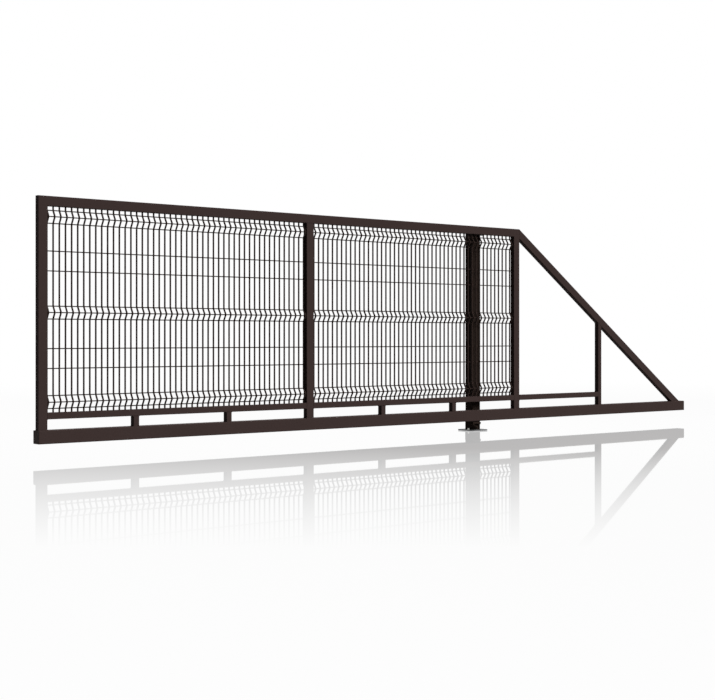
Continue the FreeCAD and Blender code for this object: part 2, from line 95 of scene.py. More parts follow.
class GateMeshSizes(bpy.types.PropertyGroup):
    """Sizes of the folded mesh."""

    wire: bpy.props.FloatProperty(
        name="Upright wire", description="Diameter of the upright wires", default=0.014, unit="LENGTH")
    cross_wire: bpy.props.FloatProperty(
        name="Level wire", description="Diameter of the level wires", default=0.0085, unit="LENGTH")
    pitch: bpy.props.FloatProperty(
        name="Pitch", description="Distance between upright wires", default=0.05, unit="LENGTH")
    margin: bpy.props.FloatProperty(
        name="Margin", description="Least gap from a wire to a stile", default=0.008, unit="LENGTH")
    setback: bpy.props.FloatProperty(
        name="Setback", description="Upright wires behind the leaf's middle plane",
        default=0.01, unit="LENGTH")
    weld_bite: bpy.props.FloatProperty(
        name="Weld bite", description="How far crossing wires sink into each other",
        default=0.001, unit="LENGTH")
    fold_depth: bpy.props.FloatProperty(
        name="Fold depth", description="How far a fold stands forward", default=0.03, unit="LENGTH")
    fold_half: bpy.props.FloatProperty(
        name="Half fold", description="Height of half a fold", default=0.048, unit="LENGTH")
    bend: bpy.props.FloatProperty(
        name="Bend", description="Length of wire taken up by each bend", default=0.009, unit="LENGTH")
    end: bpy.props.FloatProperty(
        name="Free end", description="From the lower bar to the first fold", default=0.028, unit="LENGTH")
    low_gaps: bpy.props.FloatVectorProperty(
        name="Lower gaps", description="Gaps between level wires below the middle fold",
        default=(0.202, 0.148, 0.220), unit="LENGTH")
    high_gaps: bpy.props.FloatVectorProperty(
        name="Upper gaps", description="Gaps between level wires above the middle fold",
        default=(0.262, 0.148, 0.206), unit="LENGTH")


class GateFixingSizes(bpy.types.PropertyGroup):
    """Sizes of the fixings, welds and rollers."""

    anchor: bpy.props.FloatProperty(
        name="Anchor", description="Thread diameter of the anchor studs", default=0.012, unit="LENGTH")
    anchor_along: bpy.props.FloatProperty(
        name="Anchor along", description="Anchor studs from the post's middle, along the gate",
        default=0.075, unit="LENGTH")
    anchor_across: bpy.props.FloatProperty(
        name="Anchor across", description="Anchor studs from the post's middle, across the gate",
        default=0.025, unit="LENGTH")
    anchor_tail: bpy.props.FloatProperty(
        name="Anchor tail", description="Thread past an anchor nut, as a share of its diameter",
        default=0.3, subtype="FACTOR")
    bolt: bpy.props.FloatProperty(
        name="Bolt", description="Thread diameter of the bracket and carriage bolts",
        default=0.01, unit="LENGTH")
    guide_tail: bpy.props.FloatProperty(
        name="Guide bolt tail", description="Thread past a guide nut, as a share of its diameter",
        default=0.1, subtype="FACTOR")
    guide_rises: bpy.props.FloatVectorProperty(
        name="Guide bolt rises", description="Bolts up the guide bracket, as shares of its height",
        size=2, default=(0.25, 0.7))
    shelf: bpy.props.FloatProperty(
        name="Shelf", description="Thickness of the shelf under the roller carriage",
        default=0.012, unit="LENGTH")
    carriage_along: bpy.props.FloatProperty(
        name="Carriage bolts along", description="Bolts from the carriage's middle, along the gate",
        default=0.033, unit="LENGTH")
    carriage_across: bpy.props.FloatProperty(
        name="Carriage bolts across", description="Bolts from the carriage's middle, across the gate",
        default=0.024, unit="LENGTH")
    carriage_tail: bpy.props.FloatProperty(
        name="Carriage bolt tail", description="Thread past a carriage nut, as a share of its diameter",
        default=0.2, subtype="FACTOR")
    bead: bpy.props.FloatProperty(
        name="Weld", description="Radius of a weld bead", default=0.004, unit="LENGTH")
    ripple: bpy.props.FloatProperty(
        name="Ripple", description="Length of one ripple of a weld", default=0.006, unit="LENGTH")
    sink: bpy.props.FloatProperty(
        name="Sink", description="How far the welds of the brace's head sink, as a share of their radius",
        default=0.7, subtype="FACTOR")
    rim: bpy.props.FloatProperty(
        name="Rim", description="Rounding of a roller's rim", default=0.004, unit="LENGTH")


class GateFinishes(bpy.types.PropertyGroup):
    """Colours of the gate, as sRGB hex."""

    coat: bpy.props.StringProperty(
        name="Powder coat", description="Brown coat of the frame", default="#3B302E")
    # Darker than the frame's coat, partly painted shade: it stands in for the shadow that the leaf casts on
    # the post and brackets
    shaded_post_coat: bpy.props.StringProperty(
        name="Post coat", description="Darker coat of the post and brackets", default="#29211D")
    wire_coat: bpy.props.StringProperty(
        name="Wire coat", description="Brown coat of the mesh", default="#322825")
    zinc: bpy.props.StringProperty(
        name="Zinc", description="Hot dip zinc of the base plate", default="#6E6F70")
    bolt: bpy.props.StringProperty(
        name="Bolts", description="Bright zinc of the anchor nuts", default="#D6D5CF")
    nylon: bpy.props.StringProperty(
        name="Nylon", description="Moulded wheels and rollers", default="#1C1C1C")
    cap: bpy.props.StringProperty(
        name="Cap", description="Moulded post cap", default="#2E2523")
    end_cap: bpy.props.StringProperty(
        name="End cap", description="Moulded rail end caps", default="#352A26")


class GateStage(bpy.types.PropertyGroup):
    """Camera, floor and light."""

    camera_place: bpy.props.FloatVectorProperty(
        name="Camera", description="Place of the camera", default=(-8.724, -9.269, 0.888), unit="LENGTH")
    heading: bpy.props.FloatProperty(
        name="Heading", description="Turn of the camera from straight on",
        default=math.radians(38.3), subtype="ANGLE")
    key: bpy.props.FloatProperty(
        name="Key", description="Strength of the soft light on the front", default=3.9)
    rear: bpy.props.FloatProperty(
        name="Rear", description="Strength of the soft light on the back", default=3.0)
    lamp_way: bpy.props.FloatVectorProperty(
        name="Lamp way", description="Way the key light falls; the rear light is its mirror image",
        default=(-0.45, 0.75, -0.5))
    lamp_width: bpy.props.FloatProperty(
        name="Lamp width", description="Width of the lamps as seen from the gate, which softens shadows",
        default=math.radians(30), subtype="ANGLE")
    ambient: bpy.props.FloatProperty(
        name="Ambient", description="Strength of light from all round", default=0.03)
    floor_radius: bpy.props.FloatProperty(
        name="Floor", description="Radius of the floor", default=40, unit="LENGTH")
    floor_drop: bpy.props.FloatProperty(
        name="Floor drop", description="Floor below the base plate", default=0.001, unit="LENGTH")
    floor_grey: bpy.props.FloatProperty(
        name="Floor grey", description="Share of the lamps' light that the floor scatters", default=0.09)
    white_close: bpy.props.FloatProperty(
        name="White close by", description="Brightness of the floor about the post", default=0.96)
    white_near: bpy.props.FloatProperty(
        name="White near", description="Distance from the post where the floor starts to brighten",
        default=4, unit="LENGTH")
    white_far: bpy.props.FloatProperty(
        name="White far", description="Distance from the post where the floor is pure white",
        default=14, unit="LENGTH")
    mirror: bpy.props.FloatProperty(
        name="Mirror", description="Share of light the polished floor mirrors at a low angle", default=0.6)
    mirror_blur: bpy.props.FloatProperty(
        name="Mirror blur", description="Roughness of the polished floor", default=0.02)
    mirror_near: bpy.props.FloatProperty(
        name="Mirror near", description="Distance from the gate's middle where the mirroring starts to fade",
        default=1.5, unit="LENGTH")
    mirror_far: bpy.props.FloatProperty(
        name="Mirror far", description="Distance from the gate's middle where the mirroring has faded",
        default=6.5, unit="LENGTH")


def deselect():
    """Leave object mode with nothing selected."""
    if bpy.context.mode != "OBJECT":
        bpy.ops.object.mode_set(mode="OBJECT")
    bpy.ops.object.select_all(action="DESELECT")


def only(*objects):
    """Select these objects alone, the first one active."""
    deselect()
    for thing in objects:
        thing.select_set(True)
    bpy.context.view_layer.objects.active = objects[0]


def pick_rings(obj, heights, reach):
    """In edit mode, select the rings of edges that lie level at some heights of an upright tube."""
    bpy.ops.object.mode_set(mode="OBJECT")
    bpy.context.tool_settings.mesh_select_mode = (False, True, False)
    spots = [vertex.co.z for vertex in obj.data.vertices]
    near = [any(abs(spot - height) < reach for height in heights) for spot in spots]
    obj.data.vertices.foreach_set("select", [False] * len(spots))
    obj.data.polygons.foreach_set("select", [False] * len(obj.data.polygons))
    ends = [tuple(edge.vertices) for edge in obj.data.edges]
    chosen = [near[a] and near[b] and abs(spots[a] - spots[b]) < reach for a, b in ends]
    obj.data.edges.foreach_set("select", chosen)
    bpy.ops.object.mode_set(mode="EDIT")


def join(pieces):
    """Join pieces into the first one and return it."""
    only(*pieces)
    if len(pieces) > 1:
        bpy.ops.object.join()
    return bpy.context.view_layer.objects.active


def settle(obj, name, body, slot, material, *nodes, smooth=FLAT_ANGLE):
    """Put a finished piece's place into its mesh, name and coat it, and let it ride on its body."""
    only(obj)
    bpy.ops.object.transform_apply(location=True, rotation=True, scale=True)
    bpy.ops.object.shade_smooth_by_angle(angle=smooth)
    obj.name = name
    obj.data.name = name
    obj.data.materials.clear()
    obj.data.materials.append(material)
    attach(obj, body)
    if nodes:
        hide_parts(*nodes)
    return obj


def colour(hex_text):
    """An sRGB hex colour as linear red, green, blue and alpha."""
    parts = [int(hex_text[i:i + 2], 16) / 255 for i in (1, 3, 5)]
    linear = [c / 12.92 if c <= 0.04045 else ((c + 0.055) / 1.055) ** 2.4 for c in parts]
    return (*linear, 1.0)


def shade(hex_text, factor):
    """The same colour, lighter or darker by a factor of its light."""
    red, green, blue, alpha = colour(hex_text)
    return (red * factor, green * factor, blue * factor, alpha)


def add_node(tree, kind, settings=None, links=None):
    """Add a node, set its properties and sockets, and link other nodes' outputs to its inputs."""
    made = tree.nodes.new(kind)
    for name, value in (settings or {}).items():
        if isinstance(name, int) or name in made.inputs:
            made.inputs[name].default_value = value
        else:
            setattr(made, name, value)
    for name, output in (links or {}).items():
        tree.links.new(output, made.inputs[name])
    return made


def new_material(name):
    """An empty node material, its tree and its output node."""
    material = bpy.data.materials.new(name)
    material.use_nodes = True
    tree = material.node_tree
    tree.nodes.clear()
    return material, tree, tree.nodes.new("ShaderNodeOutputMaterial")


def per_metre(millimetres):
    """The noise scale that gives features of a real size."""
    return 1000 / millimetres


def powder_coat(name, hex_text, peel_mm, speck_mm):
    """Polyester powder coat baked on steel: deep matte brown, faintly cloudy, flecked and finely dimpled."""
    material, tree, output = new_material(name)
    place = add_node(tree, "ShaderNodeTexCoord").outputs["Object"]
    cloud = add_node(tree, "ShaderNodeTexNoise", {"Scale": per_metre(400), "Detail": 3.0}, {"Vector": place})
    tint = add_node(tree, "ShaderNodeMix",
                    {"data_type": "RGBA", 6: shade(hex_text, 0.92), 7: shade(hex_text, 1.08)},
                    {0: cloud.outputs["Fac"]})
    # Real flecks are under a millimetre; these are drawn coarser, so that they show
    speck = add_node(tree, "ShaderNodeTexNoise", {"Scale": per_metre(speck_mm), "Detail": 4.0},
                     {"Vector": place})
    flecks = add_node(tree, "ShaderNodeMapRange",
                      {"From Min": 0.3, "From Max": 0.7, "To Min": 0.93, "To Max": 1.07},
                      {"Value": speck.outputs["Fac"]})
    skin = add_node(tree, "ShaderNodeVectorMath", {"operation": "SCALE"},
                    {0: tint.outputs[2], "Scale": flecks.outputs["Result"]})
    peel = add_node(tree, "ShaderNodeTexNoise", {"Scale": per_metre(peel_mm), "Detail": 2.0},
                    {"Vector": place})
    rough = add_node(tree, "ShaderNodeMapRange", {"To Min": 0.45, "To Max": 0.55},
                     {"Value": peel.outputs["Fac"]})
    bump = add_node(tree, "ShaderNodeBump", {"Strength": 0.45, "Distance": 0.0004},
                    {"Height": peel.outputs["Fac"]})
    # The photograph's coat mirrors almost nothing of the white about it, so its shine is very low
    coat = add_node(tree, "ShaderNodeBsdfPrincipled", {"IOR": 1.5, "Specular IOR Level": 0.01},
                    {"Base Color": skin.outputs["Vector"], "Roughness": rough.outputs["Result"],
                     "Normal": bump.outputs["Normal"]})
    tree.links.new(coat.outputs["BSDF"], output.inputs["Surface"])
    return material


def hot_dip_zinc(name, hex_text):
    """Steel dipped in molten zinc: dull grey with a patchwork of crystals about 12 mm across."""
    material, tree, output = new_material(name)
    place = add_node(tree, "ShaderNodeTexCoord").outputs["Object"]
    spangle = add_node(tree, "ShaderNodeTexVoronoi", {"Scale": per_metre(12)}, {"Vector": place})
    grey = add_node(tree, "ShaderNodeSeparateColor", links={"Color": spangle.outputs["Color"]})
    tint = add_node(tree, "ShaderNodeMix",
                    {"data_type": "RGBA", 6: shade(hex_text, 0.75), 7: shade(hex_text, 1.15)},
                    {0: grey.outputs["Red"]})
    rough = add_node(tree, "ShaderNodeMapRange", {"To Min": 0.35, "To Max": 0.5},
                     {"Value": grey.outputs["Green"]})
    # The dull skin of weathered zinc hides half of the metal's shine
    metal = add_node(tree, "ShaderNodeBsdfPrincipled", {"Metallic": 0.5, "Specular IOR Level": 0.1},
                     {"Base Color": tint.outputs[2], "Roughness": rough.outputs["Result"]})
    tree.links.new(metal.outputs["BSDF"], output.inputs["Surface"])
    return material


def moulded_nylon(name, hex_text):
    """Injection moulded nylon: matte, with a spark-eroded grain and paler rubbed patches."""
    material, tree, output = new_material(name)
    place = add_node(tree, "ShaderNodeTexCoord").outputs["Object"]
    rub = add_node(tree, "ShaderNodeTexNoise", {"Scale": per_metre(25), "Detail": 4.0}, {"Vector": place})
    tint = add_node(tree, "ShaderNodeMix",
                    {"data_type": "RGBA", 6: shade(hex_text, 0.8), 7: shade(hex_text, 1.4)},
                    {0: rub.outputs["Fac"]})
    # Real grain is about 0.1 mm; this is drawn coarser, so that it shows
    grain = add_node(tree, "ShaderNodeTexNoise", {"Scale": per_metre(1.5), "Detail": 1.0}, {"Vector": place})
    bump = add_node(tree, "ShaderNodeBump", {"Strength": 0.2, "Distance": 0.0002},
                    {"Height": grain.outputs["Fac"]})
    skin = add_node(tree, "ShaderNodeBsdfPrincipled",
                    {"IOR": 1.53, "Roughness": 0.55, "Specular IOR Level": 0.03},
                    {"Base Color": tint.outputs[2], "Normal": bump.outputs["Normal"]})
    tree.links.new(skin.outputs["BSDF"], output.inputs["Surface"])
    return material


def bright_zinc(name, hex_text):
    """Electroplated fixings: bright, slightly yellowish zinc with fine cloudy marks."""
    material, tree, output = new_material(name)
    place = add_node(tree, "ShaderNodeTexCoord").outputs["Object"]
    marks = add_node(tree, "ShaderNodeTexNoise", {"Scale": per_metre(3), "Detail": 3.0}, {"Vector": place})
    tint = add_node(tree, "ShaderNodeMix",
                    {"data_type": "RGBA", 6: shade(hex_text, 0.8), 7: shade(hex_text, 1.1)},
                    {0: marks.outputs["Fac"]})
    rough = add_node(tree, "ShaderNodeMapRange", {"To Min": 0.28, "To Max": 0.45},
                     {"Value": marks.outputs["Fac"]})
    metal = add_node(tree, "ShaderNodeBsdfPrincipled", {"Metallic": 0.9},
                     {"Base Color": tint.outputs[2], "Roughness": rough.outputs["Result"]})
    tree.links.new(metal.outputs["BSDF"], output.inputs["Surface"])
    return material


def finishes():
    """The gate's materials by name, made once."""
    found = bpy.context.scene.gate_finishes
    makers = {
        "brown_powder_coat": lambda name: powder_coat(name, found.coat, peel_mm=4, speck_mm=12),
        # The post's darker brown is partly painted shade from the leaf
        "dark_coat_with_painted_shade": lambda name: powder_coat(name, found.shaded_post_coat, peel_mm=4, speck_mm=12),
        "dipped_wire_coat": lambda name: powder_coat(name, found.wire_coat, peel_mm=2.5, speck_mm=8),
        "hot_dip_zinc": lambda name: hot_dip_zinc(name, found.zinc),
        "bright_zinc_plate": lambda name: bright_zinc(name, found.bolt),
        "moulded_nylon": lambda name: moulded_nylon(name, found.nylon),
        "moulded_cap": lambda name: moulded_nylon(name, found.cap),
        "moulded_end_cap": lambda name: moulded_nylon(name, found.end_cap),
    }
    return {name: bpy.data.materials.get(name) or make(name) for name, make in makers.items()}


def finish_of(node):
    """The name of the finish that a CAD node wears."""
    if node.startswith(PLASTIC_STARTS):
        return "moulded_nylon"
    if node in ZINC_NODES:
        return "hot_dip_zinc"
    # The post, its brackets and the carriage wear the darker brown, which is partly painted shade from the
    # leaf
    if node in POST_NODES:
        return "dark_coat_with_painted_shade"
    if node.startswith("rail_cap"):
        return "moulded_end_cap"
    return "moulded_cap" if node == "post_cap" else "brown_powder_coat"


class GATE_OT_frame_finish(bpy.types.Operator):
    """Coat the tubes, rail, post and plates"""

    bl_idname = "gate.frame_finish"
    bl_label = "Frame finish"

    def execute(self, context):
        coats = finishes()
        for name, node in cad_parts.items():
            node.data.materials.clear()
            node.data.materials.append(coats[finish_of(name)])
        return {"FINISHED"}


def wire_path(sizes, low, high):
    """Bends of an upright wire as (forward, height, kind), from its foot to its head."""
    folds = [low + sizes.end]
    folds.append(folds[0] + 2 * sizes.fold_half + sum(sizes.low_gaps))
    folds.append(folds[1] + 2 * sizes.fold_half + sum(sizes.high_gaps))
    path = [(0, low, "end")]
    for start in folds:
        path.append((0, start, "out"))
        path.append((sizes.fold_depth, start + sizes.fold_half, "tip"))
        path.append((0, start + 2 * sizes.fold_half, "back"))
    return path + [(0, high, "end")]


def cross_heights(sizes, low, high):
    """Level wires as (forward, height): three to a fold and two between one fold and the next."""
    path = wire_path(sizes, low, high)
    spots = [(forward, height) for forward, height, kind in path if kind != "end"]
    tops = [height for _, height, kind in path if kind == "back"]
    for start, gaps in zip(tops, (sizes.low_gaps, sizes.high_gaps)):
        spots += [(0, start + gaps[0]), (0, start + gaps[0] + gaps[1])]
    return spots


def disc(radius, sides, place, axis="Z", fill="NGON"):
    """A disc to draw a piece out of, left selected in edit mode."""
    deselect()
    bpy.ops.mesh.primitive_circle_add(
        vertices=sides, radius=radius, fill_type=fill, location=place, rotation=TURNS[axis])
    made = bpy.context.object
    bpy.ops.object.transform_apply(location=True, rotation=True)
    bpy.ops.object.mode_set(mode="EDIT")
    bpy.ops.mesh.select_all(action="SELECT")
    return made


def draw_out(step):
    """Draw the selected disc or ring out by one step."""
    bpy.ops.mesh.extrude_region_move(TRANSFORM_OT_translate={"value": step})


def close_up(obj):
    """Merge doubles, point the faces outwards and leave edit mode."""
    bpy.ops.object.mode_set(mode="EDIT")
    bpy.ops.mesh.select_all(action="SELECT")
    bpy.ops.mesh.remove_doubles(threshold=MERGE_DISTANCE)
    bpy.ops.mesh.normals_make_consistent(inside=False)
    bpy.ops.object.mode_set(mode="OBJECT")
    return obj


def turned(place, axis, sides, profile, sign=1):
    """A round or many-sided piece from (distance, radius) steps along an axis."""
    place = Vector(place)
    first, radius = profile[0]
    piece = disc(radius, sides, place + sign * first * WAYS[axis], axis)
    for (start, wide), (end, next_wide) in zip(profile, profile[1:]):
        draw_out(sign * (end - start) * WAYS[axis])
        if next_wide != wide:
            share = next_wide / wide
            centre = place + sign * end * WAYS[axis]
            bpy.ops.transform.resize(value=(share, share, share), center_override=centre)
    return close_up(piece)


def row_of(obj, count, step):
    """Repeat a piece in a straight row and apply it."""
    row = obj.modifiers.new("row", "ARRAY")
    row.count = count
    row.use_relative_offset = False
    row.use_constant_offset = True
    row.constant_offset_displace = step
    only(obj)
    bpy.ops.object.modifier_apply(modifier=row.name)


def upright_wire(sizes, x, y, low, high):
    """One folded upright wire, drawn up ring by ring, each ring turned half way into its bend."""
    wire = disc(sizes.wire / 2, WIRE_SIDES, (x, y, low))
    slope = math.atan2(sizes.fold_depth, sizes.fold_half)
    rings = {"out": (slope / 2, 1), "tip": (0, 1 / math.cos(slope)), "back": (-slope / 2, 1), "end": (0, 1)}
    path = wire_path(sizes, low, high)
    for (forward, height, kind), (next_forward, next_height, next_kind) in zip(path, path[1:]):
        draw_out((0, forward - next_forward, next_height - height))
        centre = (x, y - next_forward, next_height)
        (tilt, stretch), (next_tilt, next_stretch) = rings[kind], rings[next_kind]
        if stretch != 1:
            bpy.ops.transform.resize(value=(1, 1 / stretch, 1), center_override=centre)
        if tilt != next_tilt:
            # Without a window the rotate operator turns the other way
            bpy.ops.transform.rotate(value=tilt - next_tilt, orient_axis="X", center_override=centre)
        if next_stretch != 1:
            bpy.ops.transform.resize(value=(1, next_stretch, 1), center_override=centre)
    bends = [height for _, height, kind in path if kind != "end"]
    pick_rings(wire, bends, sizes.wire)
    bpy.ops.mesh.bevel(offset=sizes.bend, segments=2, affect="EDGES")
    bpy.context.tool_settings.mesh_select_mode = (True, False, False)
    return close_up(wire)


def level_wire(radius, x0, x1, y, z):
    """One straight level wire, drawn along from a disc."""
    wire = disc(radius, WIRE_SIDES, (x0, y, z), "X")
    draw_out((x1 - x0, 0, 0))
    return close_up(wire)


class GATE_OT_mesh_wires(bpy.types.Operator):
    """Weld up the folded mesh from round wires"""

    bl_idname = "gate.mesh_wires"
    bl_label = "Mesh wires"

    def execute(self, context):
        for node in MESH_NODES:
            self.half_bay(context.scene.gate_mesh, node)
        return {"FINISHED"}

    def half_bay(self, sizes, node):
        """Weld up half a bay, from half a pitch beside the bay's middle to just short of the stile."""
        low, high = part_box(node)
        stile_low, stile_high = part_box("front_stile")
        y = (stile_low.y + stile_high.y) / 2 + sizes.setback
        span = high.x - low.x
        count = math.floor((span - sizes.margin - sizes.pitch / 2) / sizes.pitch) + 1
        first = low.x + sizes.pitch / 2
        if node.endswith("front"):
            first = high.x - sizes.pitch / 2 - (count - 1) * sizes.pitch
        upright = upright_wire(sizes, first, y, low.z, high.z)
        row_of(upright, count, (sizes.pitch, 0, 0))
        behind = y + (sizes.wire + sizes.cross_wire) / 2 - sizes.weld_bite
        levels = [level_wire(sizes.cross_wire / 2, low.x, high.x, behind - forward, height)
                  for forward, height in cross_heights(sizes, low.z, high.z)]
        piece = join([upright, *levels])
        coat = finishes()["dipped_wire_coat"]
        settle(piece, f"{node}_wires", "leaf", "mesh_paint", coat, node, smooth=WIRE_ANGLE)


def bead(sizes, start, axis, length):
    """One straight weld bead: a ripple drawn out of a ring, repeated along the seam, closed at its ends."""
    count = max(2, round(length / sizes.ripple))
    step = length / count * WAYS[axis]
    start = Vector(start)
    thin = 0.8
    piece = disc(sizes.bead * thin, BEAD_SIDES, start, axis, fill="NOTHING")
    # A ripple swells to its full radius half way and thins again at its end
    for share, reach in ((1 / thin, 0.5), (thin, 1.0)):
        draw_out(step / 2)
        bpy.ops.transform.resize(value=(share, share, share), center_override=start + reach * step)
    bpy.ops.object.mode_set(mode="OBJECT")
    row_of(piece, count, step)
    bpy.ops.object.mode_set(mode="EDIT")
    bpy.ops.mesh.select_all(action="SELECT")
    bpy.ops.mesh.remove_doubles(threshold=MERGE_DISTANCE)
    bpy.ops.mesh.fill_holes(sides=0)
    return close_up(piece)


def foot_seams(node, height, sides="XxYy"):
    """Seams round a tube at a height: X and x along its front and back, Y and y along its left and right."""
    low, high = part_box(node)
    wide, deep = high.x - low.x, high.y - low.y
    seams = {
        "X": ((low.x, low.y, height), "X", wide),
        "x": ((low.x, high.y, height), "X", wide),
        "Y": ((low.x, low.y, height), "Y", deep),
        "y": ((high.x, low.y, height), "Y", deep),
    }
    return [seams[side] for side in sides]


def end_seams(node):
    """Seams over and under both ends of a level tube."""
    low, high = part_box(node)
    deep = high.y - low.y
    return [((x, low.y, z), "Y", deep) for x in (low.x, high.x) for z in (low.z, high.z)]


def brace_seams(sunk):
    """Seams of the sloping brace on the stile, the rail and the tail upright; its head's are sunk flush."""
    low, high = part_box("tail_brace")
    post_low, post_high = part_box("tail_upright")
    stile_low, stile_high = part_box("front_stile")
    deep = high.y - low.y
    # The brace is the same tube as the stiles
    tall = stile_high.x - stile_low.x
    slope = math.atan2(high.z - low.z, high.x - low.x)
    under, toe = tall / math.cos(slope), tall / math.sin(slope)
    fall = (post_high.x - post_low.x) * math.tan(slope)
    heads = [(low.x, high.z - under), (post_low.x, post_high.z), (post_high.x, post_high.z - fall),
             (high.x - toe, low.z), (high.x, low.z)]
    seams = [((x, low.y, z), "Y", deep) for x, z in heads]
    seams += [((low.x, y, high.z - under), "Z", under - 2 * sunk) for y in (low.y + sunk, high.y - sunk)]
    return seams + [((high.x - toe, y, low.z), "X", toe) for y in (low.y, high.y)]


class GATE_OT_welds(bpy.types.Operator):
    """Run weld beads along the seams of the leaf and the post"""

    bl_idname = "gate.welds"
    bl_label = "Welds"

    def execute(self, context):
        sizes = context.scene.gate_fixings
        coats = finishes()
        leaf = join([bead(sizes, *seam) for seam in self.leaf_seams(sizes)])
        settle(leaf, "leaf_welds", "leaf", "frame_paint", coats["brown_powder_coat"])
        post_foot = foot_seams("guide_post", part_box("guide_post")[0].z, "Xxy")
        post = join([bead(sizes, *seam) for seam in post_foot])
        settle(post, "post_welds", "post", "frame_paint", coats["dark_coat_with_painted_shade"])
        return {"FINISHED"}

    def leaf_seams(self, sizes):
        """Seams at the feet and heads of the uprights, at the ends of the lower bars and on the brace."""
        rail_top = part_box("bottom_rail")[1].z
        seams = foot_seams("front_stile", rail_top, "Xxy")
        for node in ("middle_stile", "rear_stile", "tail_upright", *SPACER_NODES):
            seams += foot_seams(node, rail_top)
        for node in ("middle_stile", *SPACER_NODES):
            seams += foot_seams(node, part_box(node)[1].z, "Yy")
        for node in BAR_NODES:
            seams += end_seams(node)
        return seams + brace_seams(sizes.sink * sizes.bead)


def washer_and_nut(thread, place, axis, sign, tail):
    """A washer, a chamfered six-sided nut and the thread's end, stacked along an axis from a face."""
    washer, nut, chamfer = 0.2 * thread, 0.83 * thread, 0.08 * thread
    washer_edge, nut_corner = thread, 0.92 * thread
    crest, root, ridge = thread / 2, 0.94 * thread / 2, thread / 8
    top = washer + nut
    washer_steps = [(0, washer_edge), (washer - chamfer / 2, washer_edge),
                    (washer, washer_edge - chamfer / 2)]
    nut_steps = [(washer, nut_corner - chamfer), (washer + chamfer, nut_corner),
                 (top - chamfer, nut_corner), (top, nut_corner - chamfer)]
    thread_steps = [(0, crest)]
    for turn in range(1, max(2, round((top + tail) / ridge))):
        thread_steps.append((turn * ridge, root if turn % 2 else crest))
    return [
        turned(place, axis, WASHER_SIDES, washer_steps, sign),
        turned(place, axis, NUT_SIDES, nut_steps, sign),
        turned(place, axis, THREAD_SIDES, thread_steps, sign),
    ]


class GATE_OT_fixings(bpy.types.Operator):
    """Fit the anchor nuts, the bracket bolts and the carriage nuts"""

    bl_idname = "gate.fixings"
    bl_label = "Fixings"

    def execute(self, context):
        sizes = context.scene.gate_fixings
        coats = finishes()
        bright, dark = coats["bright_zinc_plate"], coats["dark_coat_with_painted_shade"]
        settle(join(self.anchors(sizes)), "anchor_nuts", "post", "zinc", bright)
        settle(join(self.guide(sizes)), "guide_nuts", "post", "frame_paint", dark)
        settle(join(self.carriage(sizes)), "carriage_nuts", "post", "frame_paint", dark)
        return {"FINISHED"}

    def anchors(self, sizes):
        """Nuts on the two anchor studs, on a diagonal of the base plate."""
        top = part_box("base_plate")[1].z
        pieces = []
        for side in (-1, 1):
            place = (side * sizes.anchor_along, side * sizes.anchor_across, top)
            pieces += washer_and_nut(sizes.anchor, place, "Z", 1, sizes.anchor_tail * sizes.anchor)
        return pieces

    def guide(self, sizes):
        """Nuts over the roller pins, and on the bolts that hold the guide bracket to the post."""
        low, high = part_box("guide_bracket")
        tail = sizes.guide_tail * sizes.bolt
        pieces = []
        for pin in PIN_NODES:
            pin_low, pin_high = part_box(pin)
            middle = (pin_low + pin_high) / 2
            pieces += washer_and_nut(sizes.bolt, (middle.x, middle.y, high.z), "Z", 1, tail)
        # The pins end under the bracket's shelf, and its leg on the post is as thick as the shelf
        leg_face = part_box("guide_post")[0].y - (high.z - pin_high.z)
        for rise in sizes.guide_rises:
            place = ((low.x + high.x) / 2, leg_face, low.z + rise * (high.z - low.z))
            pieces += washer_and_nut(sizes.bolt, place, "Y", -1, tail)
        return pieces

    def carriage(self, sizes):
        """Four nuts under the shelf that carries the roller carriage."""
        frame_low, frame_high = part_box("carriage_frame")
        middle = (frame_low + frame_high) / 2
        shelf_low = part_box("carriage_bracket")[1].z - sizes.shelf
        pieces = []
        for x in (-sizes.carriage_along, sizes.carriage_along):
            for y in (-sizes.carriage_across, sizes.carriage_across):
                place = (middle.x + x, middle.y + y, shelf_low)
                pieces += washer_and_nut(sizes.bolt, place, "Z", -1, sizes.carriage_tail * sizes.bolt)
        return pieces


class GATE_OT_guide_rollers(bpy.types.Operator):
    """Turn the guide rollers with round rims and a recess about the pin"""

    bl_idname = "gate.guide_rollers"
    bl_label = "Guide rollers"

    def execute(self, context):
        rim = context.scene.gate_fixings.rim
        rounding = 0.3 * rim
        for node in ROLLER_NODES:
            low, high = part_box(node)
            radius, tall = (high.x - low.x) / 2, high.z - low.z
            hub, dish_floor, dish_edge = 0.55 * radius, 0.75 * radius, 0.8 * radius
            dish = 0.1 * tall
            place = ((low.x + high.x) / 2, (low.y + high.y) / 2, low.z)
            ends = [(dish, hub), (dish, dish_floor), (0, dish_edge), (0, radius - rim),
                    (rounding, radius - rounding), (rim, radius)]
            profile = ends + [(tall - height, wide) for height, wide in reversed(ends)]
            roller = turned(place, "Z", ROLLER_SIDES, profile)
            settle(roller, f"{node}_turned", "post", "wheel_plastic", finishes()["moulded_nylon"], node)
        return {"FINISHED"}


def seen_by_eye(tree):
    """An output that is 1 for rays from the camera, mirrors and glass, and 0 for other light."""
    path = add_node(tree, "ShaderNodeLightPath")
    first = add_node(tree, "ShaderNodeMath", {"operation": "MAXIMUM"},
                     {0: path.outputs["Is Camera Ray"], 1: path.outputs["Is Glossy Ray"]})
    both = add_node(tree, "ShaderNodeMath", {"operation": "MAXIMUM"},
                    {0: first.outputs[0], 1: path.outputs["Is Transmission Ray"]})
    return both.outputs[0]


